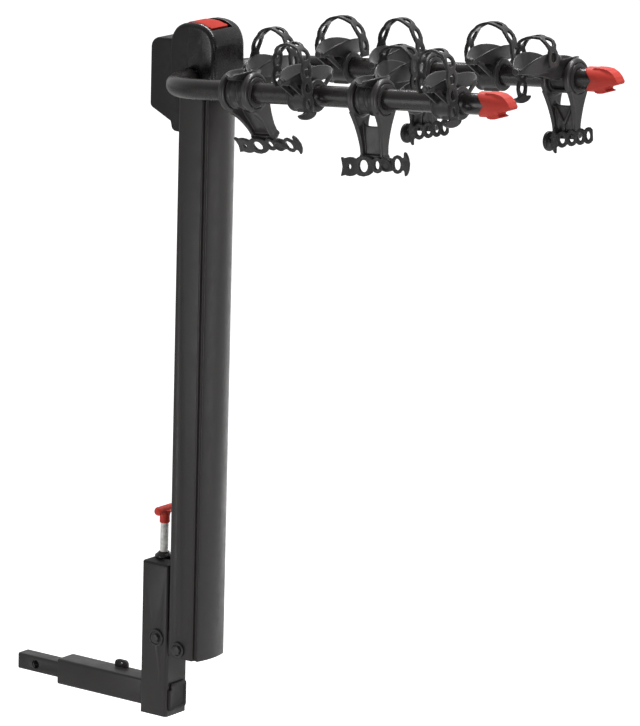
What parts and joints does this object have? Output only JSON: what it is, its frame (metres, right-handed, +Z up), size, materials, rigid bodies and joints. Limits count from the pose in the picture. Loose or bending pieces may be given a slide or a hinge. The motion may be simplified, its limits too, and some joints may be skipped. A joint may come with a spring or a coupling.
{
  "type": "hitch mounted bike rack",
  "caption": "Hanging bike rack for a vehicle hitch: hitch bar, tilting mast, folding pair of arms, strapped cradles with anti-sway stays.",
  "frame": {"origin": "top face of the hitch bar, centred over the hitch pin hole", "axes": "+X along the hitch bar away from the vehicle, +Y to the far side, across the rack, +Z up along the mast"},
  "size_m": [1.2159, 0.476, 1.3974],
  "materials": {
    "powder_coat": "satin powder coat",
    "black_fastener": "black coated",
    "zinc_steel": "zinc plated",
    "polished_steel": "bright plated",
    "red_plastic": "satin moulded",
    "red_rubber": "moulded soft plastic",
    "black_plastic": "fine texture",
    "stay_plastic": "satin moulded",
    "strap_rubber": "matt",
    "cradle_rubber": "satin"
  },
  "bodies": {
    "base": {"hitch_bar": "powder_coat", "hitch_sleeve": "powder_coat", "sleeve_spacer_inner": "powder_coat", "sleeve_spacer_outer": "powder_coat", "sleeve_lug": "powder_coat", "lower_post": "powder_coat", "post_cap": "black_plastic", "pin_guide": "black_plastic", "bar_end_plug": "black_plastic", "bracket_bolt": "black_fastener", "bracket_nut": "zinc_steel", "pivot_bracket": "powder_coat", "pivot_spacer_near": "black_plastic", "pivot_spacer_far": "black_plastic", "pivot_bolt": "black_fastener", "pivot_nut": "zinc_steel"},
    "lock_pin": {"lock_pin": "polished_steel", "lock_knob": "red_plastic", "lock_spring": "zinc_steel"},
    "mast": {"mast_tube": "powder_coat", "latch_tongue": "powder_coat", "head_bracket": "powder_coat", "hub_bush_near": "black_plastic", "hub_bush_far": "black_plastic", "head_cover_rear": "black_plastic", "head_cover_front": "black_plastic", "mechanism_housing": "black_plastic", "lever_pin": "zinc_steel", "pawl_pin": "zinc_steel", "pawl_spring": "zinc_steel"},
    "release_lever": {"release_lever": "red_plastic"},
    "pawl": {"pawl": "zinc_steel"},
    "arms": {"arm_tube": "powder_coat", "fold_ratchet": "zinc_steel", "end_cap_near": "red_rubber", "end_cap_far": "red_rubber", "sway_saddle_near_1": "cradle_rubber", "plain_saddle_near_2": "cradle_rubber", "sway_saddle_near_3": "cradle_rubber", "plain_saddle_near_4": "cradle_rubber", "plain_saddle_far_1": "cradle_rubber", "sway_saddle_far_2": "cradle_rubber", "plain_saddle_far_3": "cradle_rubber", "sway_saddle_far_4": "cradle_rubber"},
    "stay_near_1": {"sway_arm_near_1": "stay_plastic", "sway_strap_near_1": "strap_rubber"},
    "strap_near_1": {"strap_near_1": "strap_rubber"},
    "strap_near_2": {"strap_near_2": "strap_rubber"},
    "stay_near_3": {"sway_arm_near_3": "stay_plastic", "sway_strap_near_3": "strap_rubber"},
    "strap_near_3": {"strap_near_3": "strap_rubber"},
    "strap_near_4": {"strap_near_4": "strap_rubber"},
    "strap_far_1": {"strap_far_1": "strap_rubber"},
    "stay_far_2": {"sway_arm_far_2": "stay_plastic", "sway_strap_far_2": "strap_rubber"},
    "strap_far_2": {"strap_far_2": "strap_rubber"},
    "strap_far_3": {"strap_far_3": "strap_rubber"},
    "stay_far_4": {"sway_arm_far_4": "stay_plastic", "sway_strap_far_4": "strap_rubber"},
    "strap_far_4": {"strap_far_4": "strap_rubber"}
  },
  "joints": [
    {"name": "mast_tilt", "type": "hinge", "parent": "base", "child": "mast", "pos_m": [0.368, 0, 0.09112], "axis": [0, 1, 0], "range_deg": [0, 45], "stiffness_Nm_per_rad": 60, "springref_deg": -21.51},
    {"name": "lock_pin_pull", "type": "slide", "parent": "base", "child": "lock_pin", "axis": [0, 0, 1], "range_m": [0, 0.02], "deforming": ["lock_spring"]},
    {"name": "lever_lift", "type": "hinge", "parent": "mast", "child": "release_lever", "pos_m": [0.352, 0, 1.27113], "axis": [0, -1, 0], "range_deg": [0, 20]},
    {"name": "pawl_release", "type": "hinge", "parent": "mast", "child": "pawl", "pos_m": [0.396, 0, 1.23412], "axis": [0, 1, 0], "range_deg": [0, 18]},
    {"name": "arms_fold", "type": "hinge", "parent": "mast", "child": "arms", "pos_m": [0.374, 0, 1.18613], "axis": [0, 1, 0], "range_deg": [0, 90], "stiffness_Nm_per_rad": 40, "springref_deg": -30.23},
    {"name": "stay_swing_near_1", "type": "hinge", "parent": "arms", "child": "stay_near_1", "pos_m": [0.58519, -0.17, 1.2046], "axis": [0.9962, 0, 0.0872], "range_deg": [-85, 15]},
    {"name": "strap_open_near_1", "type": "hinge", "parent": "arms", "child": "strap_near_1", "pos_m": [0.64027, -0.09, 1.24054], "axis": [0, 1, 0], "range_deg": [0, 60]},
    {"name": "strap_open_near_2", "type": "hinge", "parent": "arms", "child": "strap_near_2", "pos_m": [0.69277, -0.211, 1.2371], "axis": [0, -1, 0], "range_deg": [0, 60]},
    {"name": "stay_swing_near_3", "type": "hinge", "parent": "arms", "child": "stay_near_3", "pos_m": [0.87011, -0.17, 1.22953], "axis": [0.9962, 0, 0.0872], "range_deg": [-50, 50]},
    {"name": "strap_open_near_3", "type": "hinge", "parent": "arms", "child": "strap_near_3", "pos_m": [0.83734, -0.09, 1.25979], "axis": [0, -1, 0], "range_deg": [0, 60]},
    {"name": "strap_open_near_4", "type": "hinge", "parent": "arms", "child": "strap_near_4", "pos_m": [1.00558, -0.211, 1.26447], "axis": [0, -1, 0], "range_deg": [0, 60]},
    {"name": "strap_open_far_1", "type": "hinge", "parent": "arms", "child": "strap_far_1", "pos_m": [0.60991, 0.17, 1.23186], "axis": [0, 1, 0], "range_deg": [0, 60]},
    {"name": "stay_swing_far_2", "type": "hinge", "parent": "arms", "child": "stay_far_2", "pos_m": [0.73761, 0.17, 1.21794], "axis": [0.9962, 0, 0.0872], "range_deg": [-50, 50]},
    {"name": "strap_open_far_2", "type": "hinge", "parent": "arms", "child": "strap_far_2", "pos_m": [0.79269, 0.09, 1.25387], "axis": [0, 1, 0], "range_deg": [0, 60]},
    {"name": "strap_open_far_3", "type": "hinge", "parent": "arms", "child": "strap_far_3", "pos_m": [0.94563, 0.17, 1.26123], "axis": [0, 1, 0], "range_deg": [0, 60]},
    {"name": "stay_swing_far_4", "type": "hinge", "parent": "arms", "child": "stay_far_4", "pos_m": [1.05141, 0.17, 1.24539], "axis": [0.9962, 0, 0.0872], "range_deg": [-50, 50]},
    {"name": "strap_open_far_4", "type": "hinge", "parent": "arms", "child": "strap_far_4", "pos_m": [1.07842, 0.09, 1.28088], "axis": [0, 1, 0], "range_deg": [0, 60]}
  ],
  "couplings": [
    {"joint": "pawl_release", "follows": "lever_lift", "ratio": 0.9}
  ]
}
